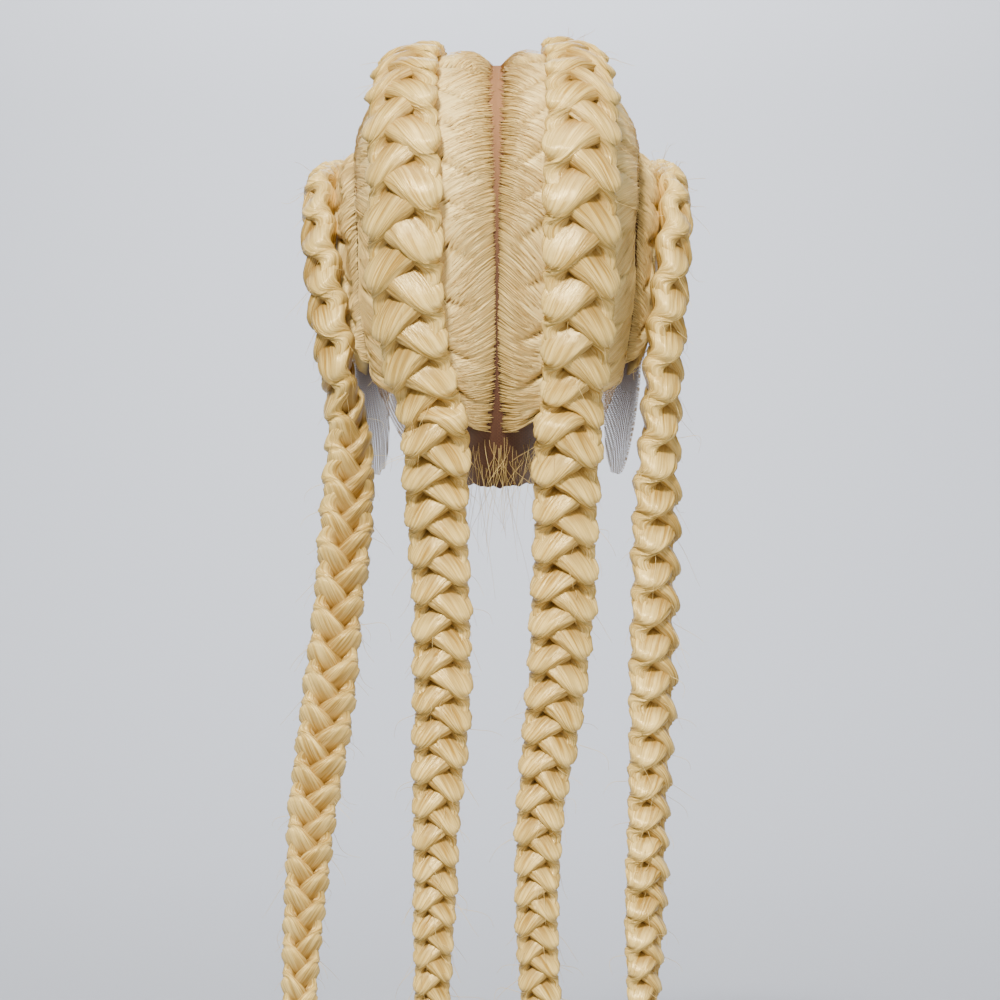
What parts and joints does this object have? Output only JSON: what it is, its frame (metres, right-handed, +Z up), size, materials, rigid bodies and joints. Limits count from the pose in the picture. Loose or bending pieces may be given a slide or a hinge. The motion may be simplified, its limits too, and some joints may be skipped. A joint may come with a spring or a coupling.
{
  "type": "braided lace wig",
  "caption": "Blonde lace wig with raised plaits that run back over the head from the front hairline and hang free, each tied off above a short tuft.",
  "frame": {"origin": "highest point of the crown on the inside of the cap, where the wig sits on the top of a head", "axes": "+Z up, +Y the way the wearer faces, +X the wearer's right"},
  "size_m": [0.2129, 0.2184, 0.5716],
  "materials": {
    "lace": "sheer net, matte",
    "scalp_hair": "combed synthetic hair, soft sheen",
    "plaited_hair": "plaited synthetic hair, silky sheen",
    "elastic": "satin elastic",
    "loose_hair": "loose synthetic hair, soft sheen"
  },
  "bodies": {
    "root": {"lace_cap": "lace", "hair_outer_left": "scalp_hair", "hair_inner_left": "scalp_hair", "hair_inner_right": "scalp_hair", "hair_outer_right": "scalp_hair", "braid_outer_left": "plaited_hair", "braid_inner_left": "plaited_hair", "braid_inner_right": "plaited_hair", "braid_outer_right": "plaited_hair", "tie_outer_left": "elastic", "tie_inner_left": "elastic", "tie_inner_right": "elastic", "tie_outer_right": "elastic", "tuft_outer_left": "loose_hair", "tuft_inner_left": "loose_hair", "tuft_inner_right": "loose_hair", "tuft_outer_right": "loose_hair"}
  },
  "joints": []
}
